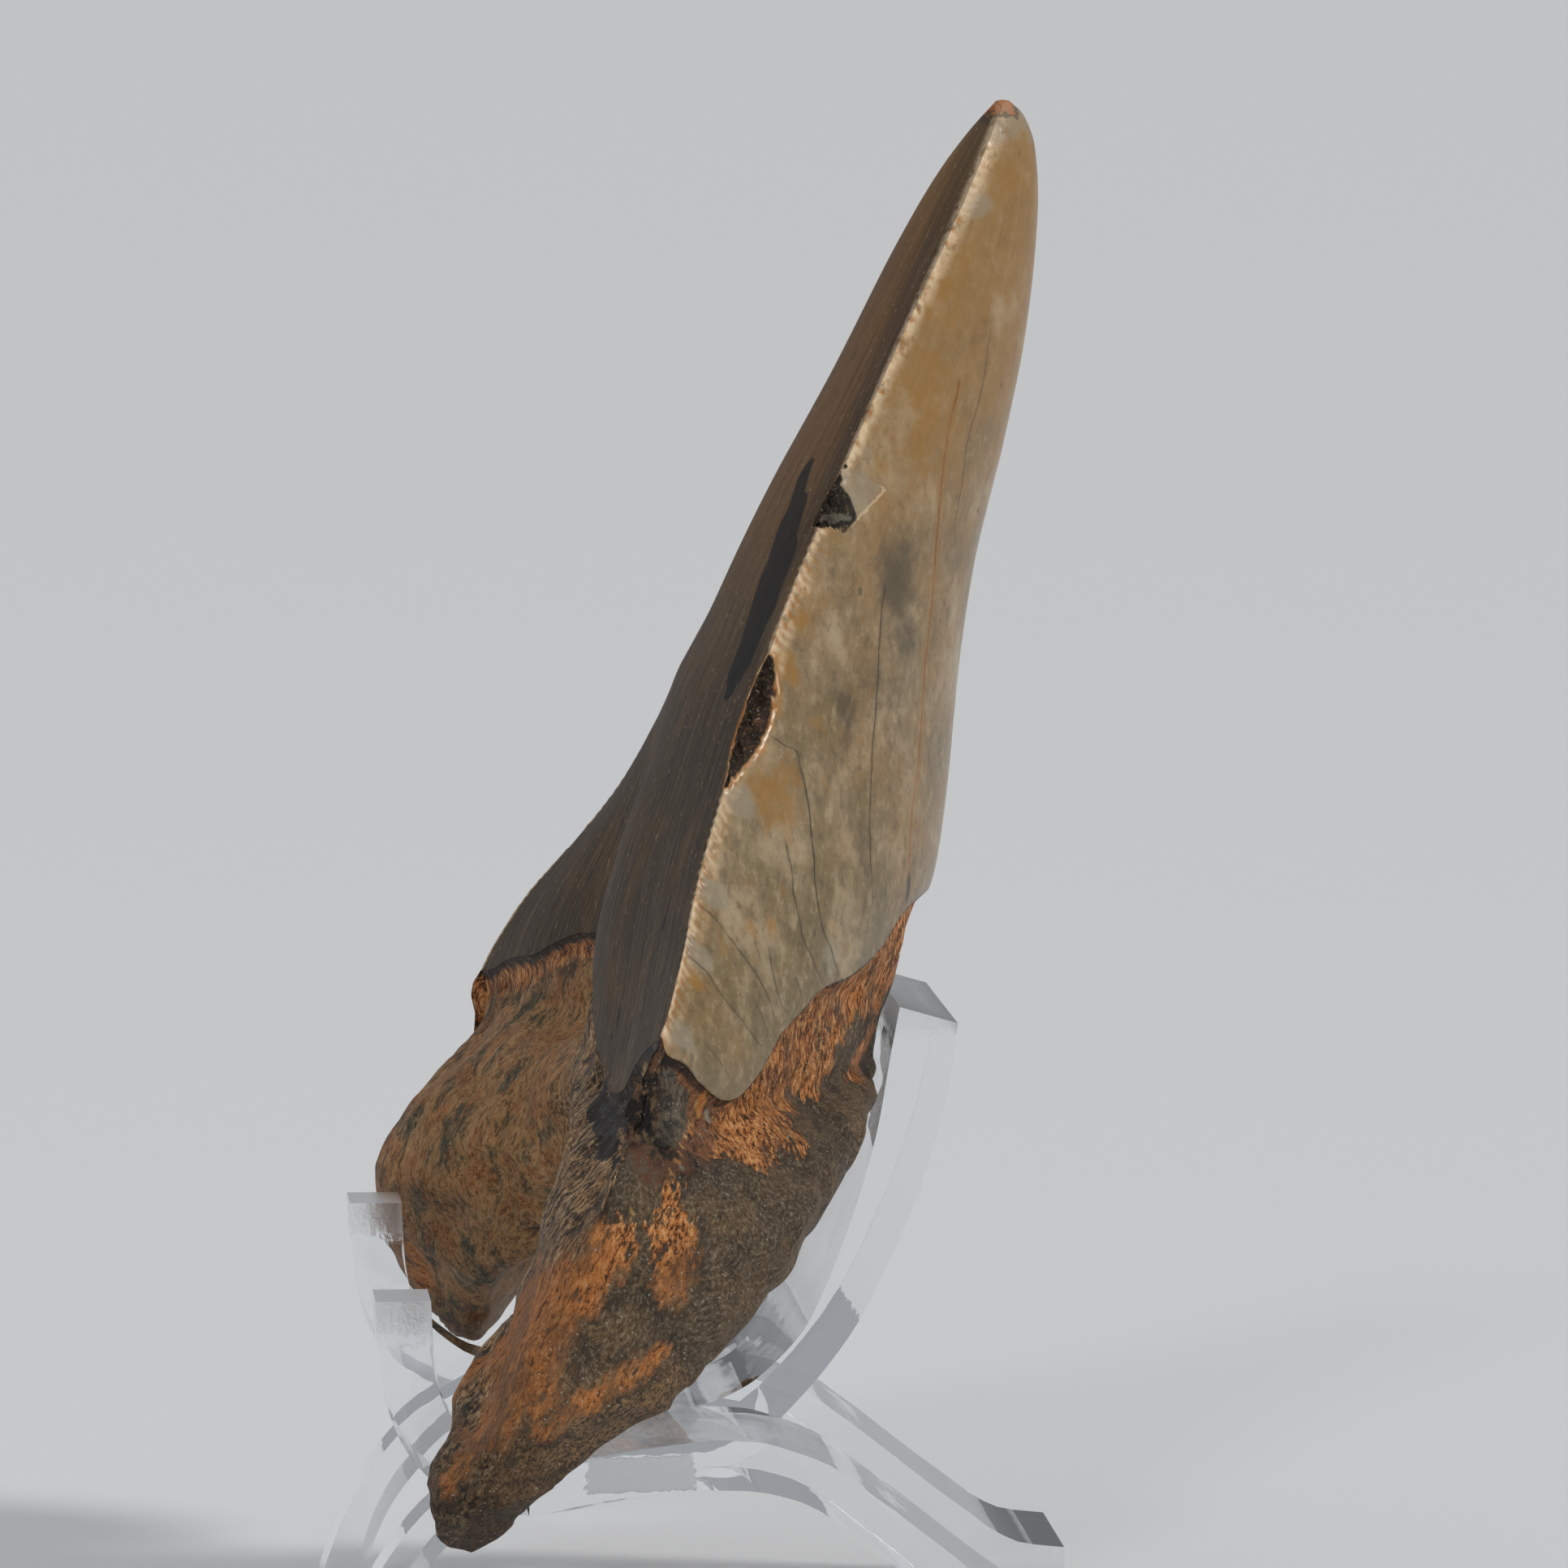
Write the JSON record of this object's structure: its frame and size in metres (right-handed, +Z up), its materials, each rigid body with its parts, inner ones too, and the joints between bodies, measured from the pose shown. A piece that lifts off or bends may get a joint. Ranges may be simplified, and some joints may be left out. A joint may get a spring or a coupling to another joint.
{
  "type": "fossil shark tooth on a display stand",
  "caption": "Large triangular fossil shark tooth, tip up, leaning in a clear moulded easel with front hooks, a back post and splayed legs.",
  "frame": {"origin": "on the surface it stands on, under the middle of its overall box", "axes": "+Z up, +Y from the hooks towards the back post, +X along the tooth's width"},
  "size_m": [0.08, 0.0468, 0.0945],
  "materials": {
    "tooth": "polished tan enamel over a rough brown and orange root",
    "stand": "clear, glossy"
  },
  "bodies": {
    "root": {"tooth": "tooth", "stand": "stand"}
  },
  "joints": []
}
